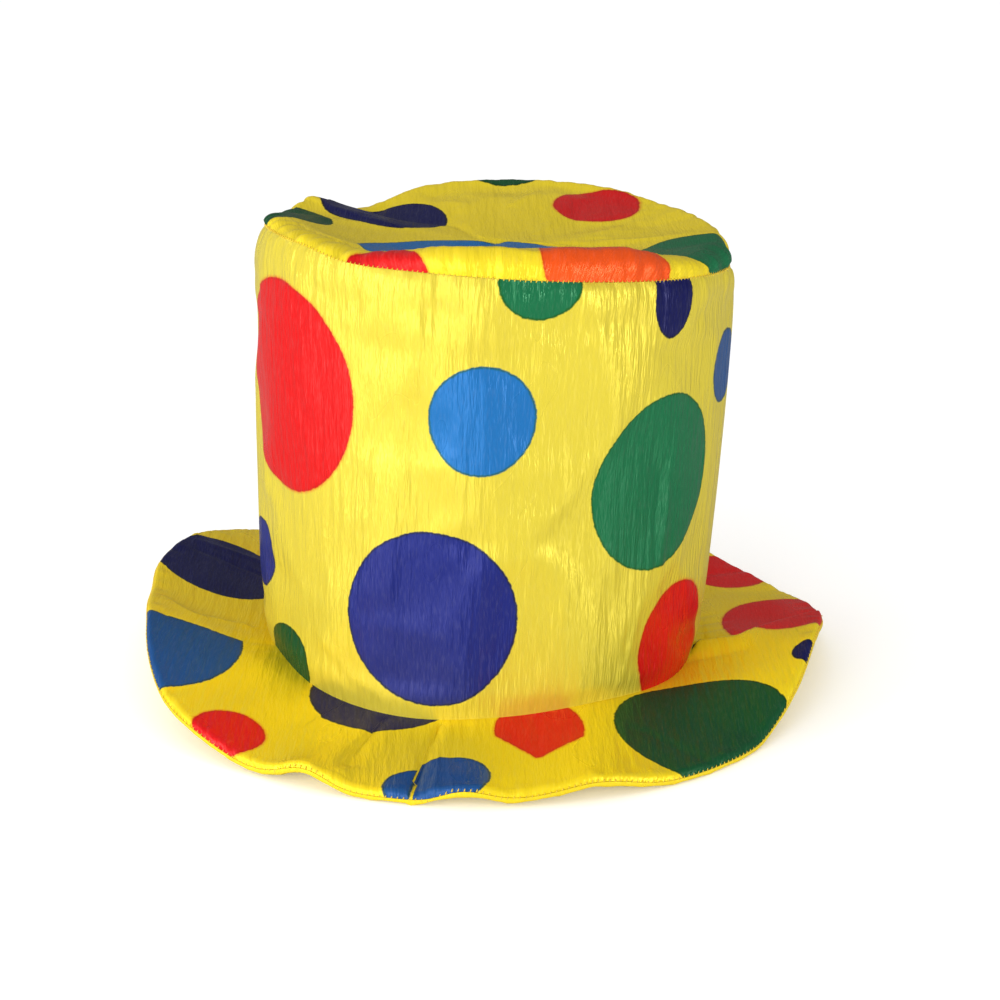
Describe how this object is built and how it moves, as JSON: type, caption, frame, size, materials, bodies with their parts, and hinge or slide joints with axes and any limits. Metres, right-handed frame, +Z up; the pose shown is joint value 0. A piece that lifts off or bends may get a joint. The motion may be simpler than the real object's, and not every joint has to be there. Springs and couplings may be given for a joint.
{
  "type": "clown hat",
  "caption": "Tall clown hat of spotted satin over thin foam, with a dished padded top and a wavy floppy brim that it stands on.",
  "frame": {"origin": "middle of the brim's footprint, on the surface that the hat stands on", "axes": "+Z up through the crown, -Y towards the front of the hat"},
  "size_m": [0.3164, 0.327, 0.2104],
  "materials": {
    "spotted_satin": "yellow printed satin with large red, blue, green and orange dots, laminated to thin foam, soft sheen",
    "plain_satin": "plain yellow satin, soft sheen"
  },
  "bodies": {
    "root": {"crown_wall": "spotted_satin", "crown_top": "spotted_satin", "brim_upper": "spotted_satin", "brim_under": "plain_satin"}
  },
  "joints": []
}
